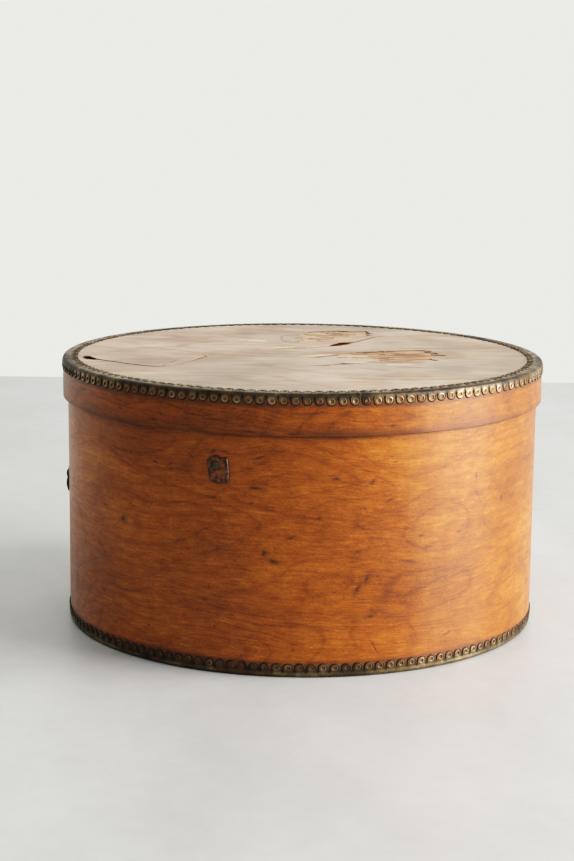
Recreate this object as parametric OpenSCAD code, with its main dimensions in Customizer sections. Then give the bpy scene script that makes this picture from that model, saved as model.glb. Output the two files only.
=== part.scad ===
// Round lift-off-lid hat box of bent plywood, bound in metal strip at both ends.
// Millimetres. +Z up, centre of the base at the origin, front at -Y.

/* [Box] */
// Outside diameter of the lid hoop
lid_d = 400; // [300:5:460]
// Height of the closed box
box_h = 221; // [160:1:300]
// How far the lid comes down over the wall, from its top
lid_depth = 33; // [20:1:60]
// Thickness of the bent hoops and of the discs
ply_t = 3; // [3:0.5:5]
// Thickness of the lid's outer veneer, part of the lid's ply_t
veneer_t = 0.7; // [0.5:0.1:1]
// Radial gap between the wall and the lid hoop
lid_gap = 1.2; // [0.6:0.1:3]
// Gap between the wall's rim and the underside of the lid
rim_gap = 0.3; // [0.2:0.1:1]

/* [Metal edge binding] */
// Thickness of the metal strip, its embossing included
strip_t = 0.7; // [0.6:0.05:0.9]
// Outside radius of the strip's bent corner
strip_r = 3; // [2:0.1:3.2]
// Height of the lid strip on the hoop's side
lid_strip_side = 9.5; // [7:0.5:16]
// Width of the lid strip on top of the lid
lid_strip_face = 13.5; // [8:0.5:18]
// Height of the base strip on the wall's side
base_strip_side = 11.5; // [7:0.5:16]
// Width of the base strip under the base
base_strip_face = 10.5; // [8:0.5:18]
// Distance from one scallop of the strip's edge to the next
scallop_pitch = 8.95; // [7:0.05:12]
// Depth of the notches between scallops
scallop_depth = 2.2; // [1:0.1:3]

/* [Strap stubs] */
// Width of the cut-off leather straps
stub_w = 18; // [14:1:24]
// Height of what is left of each strap
stub_h = 22; // [16:1:40]
// Thickness of the strap leather
stub_t = 2.6; // [2:0.1:3]
// Size of the torn-off upper corner
stub_chamfer = 4.5; // [2:0.5:6]
// Corner radius of the strap's end
stub_corner_r = 3; // [1:0.5:5]
// Angle of the front stub, from the front towards the right
front_angle = -18.6; // [-40:0.1:40]
// Height of the front stub's centre
front_z = 159.7; // [100:0.1:170]
// Angle of the side stub, from the front towards the right
side_angle = -88; // [-100:0.1:-60]
// Height of the side stub's centre
side_z = 114; // [60:0.1:170]

/* [Rivets] */
// Diameter of the domed rivet head
head_d = 6.6; // [5:0.1:9]
// Height of the domed rivet head
head_h = 1.3; // [0.8:0.1:1.5]
// Diameter of the rivet's shank
shank_d = 3.2; // [2:0.1:4]
// Diameter of the burr, the washer on the inside
burr_d = 9; // [7:0.5:12]
// Thickness of the burr
burr_t = 0.8; // [0.5:0.1:1.5]
// How far the rivet sits to the left of the stub's middle
rivet_left = 2.7; // [0:0.1:4]
// How far the rivet sits above the stub's middle
rivet_up = 3.2; // [0:0.1:5]

/* [Hidden] */
$fn = 96;

// Slack between the metal strip and the wood that it wraps
strip_slack = 0.05;
// Slack round a rivet's shank
shank_slack = 0.05;
// Slack between the wall's curve and the leather
stub_slack = 0.05;
// Shape of the rivet's peened end, inside the box
tail_d = 4.6;
tail_h = 0.8;
// How far the shank reaches into the head and the peened end
shank_sunk = 0.3;

// Radii, from the lid hoop inwards
lid_r = lid_d / 2;
lid_bore_r = lid_r - ply_t;
wall_r = lid_bore_r - lid_gap;
wall_bore_r = wall_r - ply_t;
// Turn about the box's axis from a stub's middle to its rivet
rivet_turn = rivet_left / wall_r * 180 / PI;

// Levels, from the floor up
base_top_z = strip_t + ply_t;
lid_edge_z = box_h - lid_depth;
lid_top_z = box_h - strip_t;
lid_under_z = lid_top_z - ply_t;
wall_top_z = lid_under_z - rim_gap;
veneer_z = lid_top_z - veneer_t;

// Radius of the wood's corner inside the metal strip's bend
wood_corner_r = strip_r - strip_t - strip_slack;

// Faces of the riveted stack, as radii from the box's axis
stub_in_r = wall_r + stub_slack;
stub_out_r = stub_in_r + stub_t;
burr_out_r = sqrt(pow(wall_bore_r, 2) - pow(burr_d / 2, 2));
burr_in_r = burr_out_r - burr_t;
// How far cutters and blanks reach past what they cut
over = 5;

// A ring about the box's axis
module ring(inner_r, outer_r, low_z, high_z) {
    difference() {
        translate([0, 0, low_z])
            cylinder(h = high_z - low_z, r = outer_r);
        translate([0, 0, low_z - over])
            cylinder(h = high_z - low_z + 2 * over, r = inner_r);
    }
}

// Half section of a disc or strip, from inner_r out to outer_r and from low_z
// up to high_z, with its upper outer corner rounded
module rounded_section(inner_r, outer_r, low_z, high_z, corner_r) {
    translate([inner_r, low_z])
        square([outer_r - inner_r - corner_r, high_z - low_z]);
    translate([inner_r, low_z])
        square([outer_r - inner_r, high_z - low_z - corner_r]);
    translate([outer_r - corner_r, high_z - corner_r])
        intersection() {
            circle(r = corner_r);
            square(corner_r);
        }
}

// Half section of the lid panel and its veneer together, between two levels
module lid_section(low_z, high_z) {
    intersection() {
        rounded_section(0, lid_r, lid_under_z, lid_top_z, wood_corner_r);
        translate([0, low_z])
            square([lid_d, high_z - low_z]);
    }
}

// The notches that make the strip's edge scalloped: round cuts through the
// side of a strip of outside radius outer_r, centred on its free edge
module scallop_notches(outer_r) {
    count = round(2 * PI * outer_r / scallop_pitch);
    for (i = [0 : count - 1])
        rotate([0, 0, (i + 0.5) * 360 / count])
            translate([0, 2 - outer_r, 0])
                rotate([90, 0, 0])
                    cylinder(h = 4, r = scallop_depth);
}

// A metal strip bent over a disc's edge, standing on its free edge at z = 0:
// side is its height and face its width on the disc
module binding(edge_r, side, face) {
    outer_r = edge_r + strip_slack + strip_t;
    difference() {
        rotate_extrude()
            difference() {
                rounded_section(outer_r - face, outer_r, 0, side, strip_r);
                rounded_section(0, outer_r - strip_t, -over, side - strip_t, strip_r - strip_t);
            }
        scallop_notches(outer_r);
    }
}

// Puts its children on the wall at an angle and a height; they face -Y
module on_wall(angle, z) {
    rotate([0, 0, angle])
        translate([0, 0, z])
            children();
}

// Puts its children where the rivet of a stub goes; they face -Y
module at_rivet(angle, z) {
    on_wall(angle - rivet_turn, z + rivet_up)
        children();
}

// A round bar along the wall's normal, between two distances from the axis
module radial_bar(r, inner_r, outer_r) {
    translate([0, -inner_r, 0])
        rotate([90, 0, 0])
            cylinder(h = outer_r - inner_r, r = r);
}

// A low dome on a flat round base, pointing +Z
module dome(d, h) {
    sphere_r = (pow(d / 2, 2) + h * h) / (2 * h);
    intersection() {
        translate([0, 0, h - sphere_r])
            sphere(r = sphere_r);
        cylinder(h = h + 1, r = d / 2 + 1);
    }
}

// Outline of a strap stub: its upper left corner torn off, the others rounded,
// with a tear in its top edge
module stub_outline() {
    corner = [stub_w / 2 - stub_corner_r, stub_h / 2 - stub_corner_r];
    difference() {
        union() {
            square([stub_w, stub_h - 2 * stub_corner_r], center = true);
            square([stub_w - 2 * stub_corner_r, stub_h], center = true);
            for (x = [-1, 1], y = [-1, 1])
                translate([x * corner.x, y * corner.y])
                    circle(r = stub_corner_r);
        }
        translate([-stub_w / 2, stub_h / 2])
            rotate(45)
                square(stub_chamfer * sqrt(2), center = true);
        translate([stub_w / 8, stub_h / 2 + 0.4])
            circle(r = 1.8);
    }
}

// A leather stub, bent to the wall, with its rivet hole
module strap_stub(angle, z) {
    difference() {
        intersection() {
            ring(stub_in_r, stub_out_r, z - stub_h, z + stub_h);
            on_wall(angle, z)
                translate([0, over - stub_in_r, 0])
                    rotate([90, 0, 0])
                        linear_extrude(height = 2 * over)
                            stub_outline();
        }
        at_rivet(angle, z)
            radial_bar(shank_d / 2 + shank_slack, stub_in_r - over, stub_out_r + over);
    }
}

// A domed rivet through stub, wall and burr
module strap_rivet(angle, z) {
    at_rivet(angle, z) {
        radial_bar(shank_d / 2, burr_in_r - shank_sunk, stub_out_r + shank_sunk);
        translate([0, -stub_out_r, 0])
            rotate([90, 0, 0])
                dome(head_d, head_h);
        translate([0, -burr_in_r, 0])
            rotate([-90, 0, 0])
                dome(tail_d, tail_h);
    }
}

// The washer that the rivet is peened over, flat against the inside of the wall
module strap_burr(angle, z) {
    at_rivet(angle, z)
        difference() {
            radial_bar(burr_d / 2, burr_in_r, burr_out_r);
            radial_bar(shank_d / 2 + shank_slack, burr_in_r - over, burr_out_r + over);
        }
}

// Bent plywood wall, drilled for the two rivets
module wall_hoop() {
    color("peru")
        difference() {
            ring(wall_bore_r, wall_r, base_top_z, wall_top_z);
            for (place = [[front_angle, front_z], [side_angle, side_z]])
                at_rivet(place[0], place[1])
                    radial_bar(shank_d / 2 + shank_slack, wall_bore_r - over, wall_r + over);
        }
}

// Plywood base, which the wall stands on
module base_disc() {
    color("burlywood")
        translate([0, 0, base_top_z])
            mirror([0, 0, 1])
                rotate_extrude()
                    rounded_section(0, wall_r, 0, ply_t, wood_corner_r);
}

module base_binding() {
    color("darkolivegreen")
        translate([0, 0, base_strip_side])
            mirror([0, 0, 1])
                binding(wall_r, base_strip_side, base_strip_face);
}

module front_strap_stub() {
    color("saddlebrown")
        strap_stub(front_angle, front_z);
}

module front_strap_rivet() {
    color("dimgray")
        strap_rivet(front_angle, front_z);
}

module front_strap_burr() {
    color("dimgray")
        strap_burr(front_angle, front_z);
}

module side_strap_stub() {
    color("saddlebrown")
        strap_stub(side_angle, side_z);
}

module side_strap_rivet() {
    color("dimgray")
        strap_rivet(side_angle, side_z);
}

module side_strap_burr() {
    color("dimgray")
        strap_burr(side_angle, side_z);
}

// Bent plywood hoop of the lid
module lid_hoop() {
    color("peru")
        ring(lid_bore_r, lid_r, lid_edge_z, lid_under_z);
}

// Core and inner ply of the lid's top
module lid_panel() {
    color("burlywood")
        rotate_extrude()
            lid_section(lid_under_z, veneer_z);
}

// Outer veneer of the lid's top
module lid_face_veneer() {
    color("tan")
        rotate_extrude()
            lid_section(veneer_z, lid_top_z);
}

module lid_binding() {
    color("darkolivegreen")
        translate([0, 0, box_h - lid_strip_side])
            binding(lid_r, lid_strip_side, lid_strip_face);
}

wall_hoop();
base_disc();
base_binding();
front_strap_stub();
front_strap_rivet();
front_strap_burr();
side_strap_stub();
side_strap_rivet();
side_strap_burr();
lid_hoop();
lid_panel();
lid_face_veneer();
lid_binding();
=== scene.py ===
"""Looks of the hat box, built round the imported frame. Metres, +Z up, front at -Y."""

import math

import bmesh
import bpy
import numpy as np
from mathutils import Matrix, Vector, noise
from mathutils.geometry import delaunay_2d_cdt


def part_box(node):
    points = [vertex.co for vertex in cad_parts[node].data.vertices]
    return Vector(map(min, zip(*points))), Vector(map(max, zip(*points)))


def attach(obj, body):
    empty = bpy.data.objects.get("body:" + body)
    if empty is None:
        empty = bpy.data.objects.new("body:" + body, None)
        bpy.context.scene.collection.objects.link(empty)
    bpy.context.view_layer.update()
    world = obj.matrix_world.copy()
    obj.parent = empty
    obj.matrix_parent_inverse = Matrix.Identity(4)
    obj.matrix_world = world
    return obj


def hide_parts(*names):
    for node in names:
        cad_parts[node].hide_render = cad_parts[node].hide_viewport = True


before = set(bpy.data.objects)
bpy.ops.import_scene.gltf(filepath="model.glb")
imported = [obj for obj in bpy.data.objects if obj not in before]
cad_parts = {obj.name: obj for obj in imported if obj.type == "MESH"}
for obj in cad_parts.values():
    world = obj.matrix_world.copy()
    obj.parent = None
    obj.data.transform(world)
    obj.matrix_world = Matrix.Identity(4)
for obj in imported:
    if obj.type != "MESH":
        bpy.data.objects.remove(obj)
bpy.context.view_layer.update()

MM = 0.001
TAU = 2 * math.pi

# ---------------------------------------------------------------- sizes, from the frame
WALL_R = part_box("wall_hoop")[1].x
WALL_TOP_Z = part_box("wall_hoop")[1].z
BASE_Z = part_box("base_disc")[0].z
BASE_TOP_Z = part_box("base_disc")[1].z
PLY = BASE_TOP_Z - BASE_Z
LID_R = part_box("lid_hoop")[1].x
LID_EDGE_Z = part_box("lid_hoop")[0].z
LID_UNDER_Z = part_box("lid_panel")[0].z
CORE_TOP_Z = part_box("lid_panel")[1].z
LID_TOP_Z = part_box("lid_face_veneer")[1].z
LID_STRIP_LOW_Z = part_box("lid_binding")[0].z
BASE_STRIP_TOP_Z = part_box("base_binding")[1].z
VENEER = LID_TOP_Z - CORE_TOP_Z - 0.02 * MM

# The metal strips: outside radius of the bent corner, thickness with the embossing, slack
# over the wood, inside radius of the lid's strip and of the base's, and their lobe counts
STRIP_R = 3 * MM
STRIP_T = 0.7 * MM
STRIP_SLACK = 0.05 * MM
LID_STRIP_IN_R = 187.25 * MM
BASE_STRIP_IN_R = 186.05 * MM
LID_LOBES = 141
BASE_LOBES = 138
LAP_ANGLE = math.radians(14) - math.pi / 2  # the lid strip's ends meet at the front right

# The hoops' scarf joints are at the back, at +Y. The outer end swells over SEAM_SWELL and
# stands off by SEAM_LIP
SEAM_ANGLE = math.pi / 2
SEAM_LIP = 0.45 * MM
SEAM_SWELL = 30 * MM
HOOP_STEPS = 360


# ---------------------------------------------------------------- small helpers
def smooth(x, low=0.0, high=1.0):
    """0 below low, 1 above high, smooth between."""
    t = np.clip((np.asarray(x, float) - low) / (high - low), 0, 1)
    return t * t * (3 - 2 * t)


def wave(x, y, z=0.0):
    """Smooth noise from -1 to 1."""
    return noise.noise(Vector((x, y, z)))


def make_object(name, verts, faces, material_ids=None, uv=None, tones=None):
    """A mesh object. uv is one pair for each face corner, tones one value for each vertex."""
    mesh = bpy.data.meshes.new(name)
    mesh.from_pydata([tuple(v) for v in verts], [], [tuple(int(i) for i in f) for f in faces])
    if material_ids is not None:
        mesh.polygons.foreach_set("material_index", np.asarray(material_ids, np.int32))
    if uv is not None:
        layer = mesh.uv_layers.new(name="grain")
        layer.data.foreach_set("uv", np.asarray(uv, np.float32).ravel())
    if tones is not None:
        attribute = mesh.attributes.new("tone", "FLOAT", "POINT")
        attribute.data.foreach_set("value", np.asarray(tones, np.float32))
    mesh.update()
    mesh.validate()
    obj = bpy.data.objects.new(name, mesh)
    bpy.context.scene.collection.objects.link(obj)
    return obj


def close_up(obj):
    """Merges doubled points, closes what is open and turns every face outwards."""
    work = bmesh.new()
    work.from_mesh(obj.data)
    bmesh.ops.remove_doubles(work, verts=work.verts, dist=2e-6)
    bmesh.ops.holes_fill(work, edges=[e for e in work.edges if e.is_boundary], sides=0)
    bmesh.ops.recalc_face_normals(work, faces=work.faces)
    if work.calc_volume(signed=True) < 0:
        bmesh.ops.reverse_faces(work, faces=work.faces)
    work.to_mesh(obj.data)
    work.free()
    return obj


# ---------------------------------------------------------------- shader building
class Value:
    """A number, vector or colour in a node tree. Arithmetic on it adds Math nodes."""

    def __init__(self, nodes, socket):
        self.nodes = nodes
        self.socket = socket

    def __add__(self, other):
        return self.nodes.math("ADD", self, other)

    def __sub__(self, other):
        return self.nodes.math("SUBTRACT", self, other)

    def __rsub__(self, other):
        return self.nodes.math("SUBTRACT", other, self)

    def __mul__(self, other):
        return self.nodes.math("MULTIPLY", self, other)

    def __truediv__(self, other):
        return self.nodes.math("DIVIDE", self, other)


class Nodes:
    """Short calls that add nodes to one node tree."""

    def __init__(self, tree):
        self.tree = tree

    def put(self, socket, value):
        """Links a Value to a socket, or sets the socket to a plain number or tuple."""
        if isinstance(value, Value):
            self.tree.links.new(value.socket, socket)
        else:
            socket.default_value = value

    def add(self, kind, inputs=(), out=0, **settings):
        """Adds a node with these inputs and settings, and returns one of its outputs."""
        node = self.tree.nodes.new(kind)
        for key, value in settings.items():
            setattr(node, key, value)
        for key, value in dict(inputs).items():
            self.put(node.inputs[key], value)
        return Value(self, node.outputs[out])

    def math(self, kind, a, b=0.0):
        return self.add("ShaderNodeMath", {0: a, 1: b}, operation=kind)

    def split(self, vector):
        x = self.add("ShaderNodeSeparateXYZ", {0: vector})
        return [Value(self, socket) for socket in x.socket.node.outputs]

    def join(self, x, y, z=0.0):
        return self.add("ShaderNodeCombineXYZ", {0: x, 1: y, 2: z})

    def stretch(self, vector, scale, shift):
        return self.add("ShaderNodeMapping", {0: vector, "Scale": (*scale, 1), "Location": shift})

    def noise(self, vector, scale, detail=3.0, rough=0.55, shift=(0, 0, 0)):
        """Noise about 0.5. A pair as scale draws it out differently along the first two axes."""
        if isinstance(scale, tuple):
            vector, scale = self.stretch(vector, scale, shift), 1.0
        inputs = {"Vector": vector, "Scale": scale, "Detail": detail, "Roughness": rough}
        return self.add("ShaderNodeTexNoise", inputs, "Fac")

    def cells(self, vector, scale, shift=(0, 0, 0), feature="F1"):
        """Distance to the middle or the edge of the nearest of many uneven cells."""
        inputs = {"Vector": self.stretch(vector, scale, shift), "Scale": 1.0}
        return self.add("ShaderNodeTexVoronoi", inputs, "Distance", feature=feature)

    def ramp(self, value, *stops):
        """value through colour or grey stops, each (place, colour or number)."""
        result = self.add("ShaderNodeValToRGB", {0: value})
        elements = result.socket.node.color_ramp.elements
        while len(elements) < len(stops):
            elements.new(0.5)
        for element, (place, colour) in zip(elements, stops):
            element.position = place
            element.color = (*colour, 1) if isinstance(colour, tuple) else (colour, colour, colour, 1)
        return result

    def mix(self, share, a, b):
        """Colour a blended with colour b by share."""
        a, b = [(*colour, 1) if isinstance(colour, tuple) else colour for colour in (a, b)]
        return self.add("ShaderNodeMix", {0: share, 6: a, 7: b}, 2, data_type="RGBA")


class Surface(Nodes):
    """The nodes of one new material, which end in a Principled shader."""

    def __init__(self, name):
        self.material = bpy.data.materials.new(name)
        self.material.use_nodes = True
        super().__init__(self.material.node_tree)
        self.tree.nodes.clear()
        end = self.add("ShaderNodeBsdfPrincipled")
        self.shader = end.socket.node
        self.put(self.tree.nodes.new("ShaderNodeOutputMaterial").inputs["Surface"], end)

    def uv(self):
        return self.add("ShaderNodeUVMap", uv_map="grain")

    def object_xyz(self):
        return self.add("ShaderNodeTexCoord", out="Object")

    def tone(self):
        return self.add("ShaderNodeAttribute", out="Fac", attribute_name="tone")

    def bump(self, height, strength, distance):
        inputs = {"Strength": strength, "Distance": distance, "Height": height}
        self.put(self.shader.inputs["Normal"], self.add("ShaderNodeBump", inputs))

    def finish(self, **values):
        """Sets the shader's sockets, named with _ for a space, and returns the material."""
        for key, value in values.items():
            self.put(self.shader.inputs[key.replace("_", " ")], value)
        return self.material


# ---------------------------------------------------------------- wood materials
# Colours are linear
AMBER_DARK = (0.13, 0.033, 0.003)
AMBER = (0.32, 0.088, 0.006)
AMBER_LIGHT = (0.53, 0.19, 0.024)
PLY_FACE = (0.33, 0.17, 0.06)
PLY_GLUE = (0.08, 0.04, 0.02)
PLY_CORE = (0.17, 0.08, 0.03)

# Dents and dark marks on the wall and on the lid's hoop: azimuth from
# the front in degrees, height, length and width in mm, and tilt in degrees
WALL_MARKS = [
    (-9, 171, 8, 1.1, 20), (-8, 97, 6, 3.6, 60), (-6, 91, 8, 3.2, -15), (-2, 110, 5, 1.8, 25),
    (-52, 117, 4, 1.8, 0), (4, 125, 5, 1.9, 15), (20, 137, 8, 1.3, 20), (28, 107, 5, 2.2, 0),
    (30, 98, 5, 1.4, -10), (25, 88, 13, 1.9, -10), (15, 77, 8, 3.4, 65), (13, 70, 10, 3.2, 60),
    (16, 47, 6, 2.0, 15), (54, 125, 5, 2.4, 80), (8, 155, 7, 2.2, -20), (16, 152, 5, 2.8, 50),
    (-53, 47, 7, 1.6, -25), (36, 26, 10, 1.4, 20), (66, 33, 6, 1.8, 15), (17, 23, 9, 1.0, -60),
    (-10, 147, 12, 2.2, -10), (-19.8, 173.5, 5, 2.0, 35), (39, 106, 6, 1.8, -10), (44, 148, 5, 1.6, 80),
    (-45, 110, 7, 4.0, 20), (-17.4, 174, 5, 1.6, -10), (-20, 138, 8, 1.5, 0),
]
LID_MARKS = [(-34, 194, 6, 1.5, 0), (-11, 191, 9, 1.3, 0), (-2, 190, 6, 1.4, 0), (20, 195, 5, 2.0, 0)]


def spot_reach(m, flat, spots, ragged, scale):
    """Distance from the nearest spot's middle, about 1 at its ragged rim. Spots are
    (x, y, length, width, tilt in degrees) in mm on the plane of flat, which is in metres."""
    nearest = 9.0
    for x, y, length, width, tilt in spots:
        inputs = {"Vector": flat, "Location": (x * MM, y * MM, 0), "Rotation": (0, 0, math.radians(tilt)),
                  "Scale": (length * MM / 2, width * MM / 2, 1)}
        own = m.add("ShaderNodeMapping", inputs, vector_type="TEXTURE")
        reach = m.add("ShaderNodeVectorMath", {0: own}, "Value", operation="LENGTH")
        nearest = m.math("MINIMUM", nearest, reach)
    return nearest + (m.noise(flat, scale, detail=4, rough=0.65) - 0.5) * ragged


def bent_grain(m, place, scale, bend):
    """place with its second axis bent a little, so that grain along the first isn't straight."""
    x, y, _ = m.split(place)
    return m.join(x, y + m.noise(place, scale, detail=2) * bend)


def varnished_wood(name, radius, low_z, high_z, marks, grime_shade_low, grime_shade_high, shift, seed):
    """Amber-varnished rotary-cut veneer on a hoop, its grain round the hoop, darkened with grime
    and painted shade in a band of the given width above low_z and in one about high_z. shift makes it
    lighter."""
    m = Surface(name)
    uv = m.uv()
    along, up, _ = m.split(uv)
    flow = (m.noise(uv, (4.5, 9), detail=2, rough=0.4, shift=(seed, 0, 0)) - 0.5) * 0.05
    ripple = (m.noise(uv, (30, 70), shift=(0, seed, 0)) - 0.5) * 0.005
    grain = m.join(along, up + flow + ripple, seed)

    hills = m.noise(grain, (3.1, 7.5), detail=2.2, rough=0.5, shift=(0, 3 * seed, 0))
    rings = m.math("FRACT", hills * 26)
    rings = m.ramp(rings, (0.0, 0.2), (0.10, 0.75), (0.45, 1.0), (0.88, 0.85), (1.0, 0.2))
    streaks = m.noise(grain, (9, 210), detail=4, rough=0.62)
    fibres = m.noise(grain, (75, 620), rough=0.6)
    layers = [
        (m.noise(grain, (5, 11), rough=0.6, shift=(seed, 0, 2)), 1.15),
        (streaks, 0.60),
        (fibres, 0.85),
        (m.noise(uv, (80, 130), detail=5, rough=0.7, shift=(seed, seed, 0)), 0.75),
        (m.noise(grain, (420, 1300), detail=2, rough=0.6), 0.75),
    ]
    tone = (rings - 0.85) * 0.26 + (0.5 + shift)
    for layer, weight in layers:
        tone = tone + (layer - 0.5) * weight
    colour = m.ramp(tone, (0.0, AMBER_DARK), (0.5, AMBER), (1.0, AMBER_LIGHT))

    pores = m.ramp(m.noise(grain, (110, 1100), detail=2, rough=0.5), (0.64, 0.0), (0.74, 1.0))
    colour = m.mix(pores * 0.5, colour, (0.09, 0.022, 0.005))
    flecks = m.ramp(m.noise(uv, (150, 260), rough=0.6, shift=(seed, 0, 0)), (0.665, 0.0), (0.72, 1.0))
    dashes = m.cells(uv, (24, 62), (seed, seed, 0)) + m.noise(uv, (60, 160), detail=5, rough=0.7) * 0.9
    flecks = m.math("MAXIMUM", flecks, m.ramp(dashes, (0.38, 1.0), (0.44, 0.0)))
    colour = m.mix(flecks * 0.7, colour, (0.05, 0.015, 0.005))

    # Grime and painted shade along the lower and upper edges, broken up by the grain
    low = (up - low_z) / grime_shade_low
    high = m.math("ABSOLUTE", high_z - up) / grime_shade_high
    edge = m.math("MINIMUM", low, high) + (m.noise(grain, (7, 90), detail=4, rough=0.65) - 0.5) * 2.4
    colour = m.mix(m.ramp(edge, (0.0, 1.0), (1.0, 0.0)) * 0.62, colour, (0.055, 0.018, 0.006))
    spots = [(math.radians(azimuth + 180) * radius / MM, *rest) for azimuth, *rest in marks]
    reach = spot_reach(m, uv, spots, 2.6, (260, 620)) * 0.4
    dents = m.ramp(reach, (0.12, 0.8), (0.40, 0.3), (0.95, 0.0))
    colour = m.mix(dents, colour, (0.045, 0.016, 0.006))

    worn = m.noise(uv, (16, 26), detail=5, rough=0.65, shift=(0, 0, seed))
    m.bump(fibres * 0.5 + streaks * 0.8 - pores * 0.5 - dents * 3.0, 0.35, 0.00012)
    return m.finish(Base_Color=colour, Roughness=m.ramp(worn, (0.3, 0.36), (0.7, 0.50)),
                    Specular_IOR_Level=0.5, Metallic=0.10, Coat_Weight=0.22, Coat_Roughness=0.2)


def bare_wood(name, light, dark, use_uv=True):
    """Unvarnished, aged plywood face with its grain along the first axis."""
    m = Surface(name)
    place = m.uv() if use_uv else m.object_xyz()
    grain = bent_grain(m, place, (4, 7), 0.03)
    streaks = m.noise(grain, (4, 140), detail=4, rough=0.65)
    fibres = m.noise(grain, (30, 900), rough=0.65)
    blots = m.noise(place, (7, 9), detail=4, rough=0.6)
    tone = streaks * 0.55 + fibres * 0.45
    colour = m.ramp(tone, (0.3, dark), (0.7, light))
    colour = m.mix(m.ramp(blots, (0.52, 0.0), (0.75, 0.55)), colour, (0.10, 0.06, 0.03))
    m.bump(tone, 0.3, 0.00015)
    return m.finish(Base_Color=colour, Roughness=m.ramp(tone, (0.3, 0.82), (0.7, 0.68)))


def ply_edge(name):
    """The three layers of plywood, seen on its edge. The map's second axis runs through them."""
    m = Surface(name)
    uv = m.uv()
    layer = m.split(uv)[1] / PLY + (m.noise(uv, (90, 90)) - 0.5) * 0.2
    colour = m.ramp(layer, (0.28, PLY_FACE), (0.33, PLY_GLUE), (0.38, PLY_CORE),
                    (0.62, PLY_CORE), (0.67, PLY_GLUE), (0.72, PLY_FACE))
    specks = m.noise(uv, (700, 2200), detail=4, rough=0.7)
    colour = m.mix(m.ramp(specks, (0.4, 0.6), (0.65, 0.0)), colour, (0.05, 0.025, 0.012))
    m.bump(specks, 0.5, 0.0002)
    return m.finish(Base_Color=colour, Roughness=m.ramp(specks, (0.3, 0.85), (0.7, 0.6)))


# ---------------------------------------------------------------- hoops and discs
def hoop(name, inner_r, outer_r, low_z, high_z, seed, rows=26):
    """A bent hoop whose outer end laps over its start in a scarf joint at the back.
    Materials: 0 outside, 1 edges, 2 inside. The map is arc length and height."""
    # one thin step on both sides of the seam for its lip
    thin = 0.25 * MM / WALL_R
    turns = np.concatenate([[0], np.linspace(thin, TAU - thin, HOOP_STEPS), [TAU]])
    ease = 0.5 * MM
    levels = np.linspace(low_z + ease, high_z - ease, rows)
    outer = [(outer_r - ease * 0.7, low_z + ease * 0.3), *[(outer_r, z) for z in levels]]
    outer.append((outer_r - ease * 0.7, high_z - ease * 0.3))
    rim_top = [(outer_r - ease * 1.6, high_z), (inner_r + ease * 1.6, high_z)]
    inner = [(inner_r + ease * 0.7, high_z - ease * 0.3), *[(inner_r, z) for z in levels[::-3]]]
    inner.append((inner_r + ease * 0.7, low_z + ease * 0.3))
    rim_low = [(inner_r + ease * 1.6, low_z), (outer_r - ease * 1.6, low_z)]
    profile = outer + rim_top + inner + rim_low
    kinds = [0] * (len(outer) - 1) + [1] * 3 + [2] * (len(inner) - 1) + [1] * 3
    verts, faces, kind_ids, uv = [], [], [], []
    n, count = len(profile), len(turns) - 1
    for k, turn in enumerate(turns[:-1]):
        x, y = math.cos(turn + SEAM_ANGLE), math.sin(turn + SEAM_ANGLE)
        # the outer ply swells before its end and drops off at the seam
        swell = SEAM_LIP * float(smooth((turn - TAU) * outer_r, -SEAM_SWELL, -4 * MM))
        for r, z in profile:
            warp = 0.22 * MM * wave(3 * x, 3 * y, 9 * z + seed)
            warp += 0.08 * MM * wave(11 * x, 11 * y, 40 * z + seed)
            reach = r + warp + (swell if r > (inner_r + outer_r) / 2 else 0)
            ragged = 0.5 * MM / outer_r * wave(z * 300, seed) if k in (0, count - 1) else 0
            angle = turn + SEAM_ANGLE + ragged
            verts.append((reach * math.cos(angle), reach * math.sin(angle), z))
    for k in range(count):
        after = (k + 1) % count
        u0, u1 = turns[k] * outer_r, turns[k + 1] * outer_r
        for i, kind in enumerate(kinds):
            j = (i + 1) % n
            faces.append((k * n + i, after * n + i, after * n + j, k * n + j))
            v0, v1 = profile[i][1], profile[j][1]
            if kind == 1:
                v0, v1 = profile[i][0] - inner_r, profile[j][0] - inner_r
            uv += [(u0, v0), (u1, v0), (u1, v1), (u0, v1)]
        kind_ids += kinds
    return make_object(name, verts, faces, kind_ids, uv)


def disc(name, outer_r, low_z, high_z, corner_r, corner_at_top, seed):
    """A plywood disc with one rounded outer edge. Materials: 0 top, 1 edge, 2 underside."""
    turns = np.linspace(0, math.pi / 4, 5)
    arc = [(outer_r - corner_r + corner_r * math.cos(t), corner_r * math.sin(t)) for t in turns]
    if corner_at_top:
        side = [(outer_r, low_z)] + [(r, high_z - corner_r + h) for r, h in arc]
    else:
        side = [(r, low_z + corner_r - h) for r, h in arc[::-1]] + [(outer_r, high_z)]
    radii = np.linspace(0, outer_r - corner_r - MM, 26)[1:]
    profile = [(r, low_z) for r in radii] + side + [(r, high_z) for r in radii[::-1]]
    kinds = [2] * len(radii) + [1] * (len(side) - 1) + [0] * len(radii)
    steps = 180
    verts, faces, uv = [(0, 0, low_z), (0, 0, high_z)], [], []
    for k in range(steps):
        for r, z in profile:
            x, y = r * math.cos(TAU * k / steps), r * math.sin(TAU * k / steps)
            dip = 0.25 * MM * wave(14 * x, 14 * y, seed) if r < outer_r - 12 * MM else 0
            verts.append((x, y, z + dip))
    last = len(profile) - 1
    for k in range(steps):
        a, b = 2 + k * (last + 1), 2 + (k + 1) % steps * (last + 1)
        faces.append((0, b, a))
        faces += [(a + i, b + i, b + i + 1, a + i + 1) for i in range(last)]
        faces.append((1, a + last, b + last))
    kind_ids = [2, *kinds, 0] * steps
    for face, kind in zip(faces, kind_ids):
        for x, y, z in (verts[i] for i in face):
            uv.append((math.atan2(y, x) * outer_r, z - low_z) if kind == 1 else (x, y))
    return make_object(name, verts, faces, kind_ids, uv)


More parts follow.
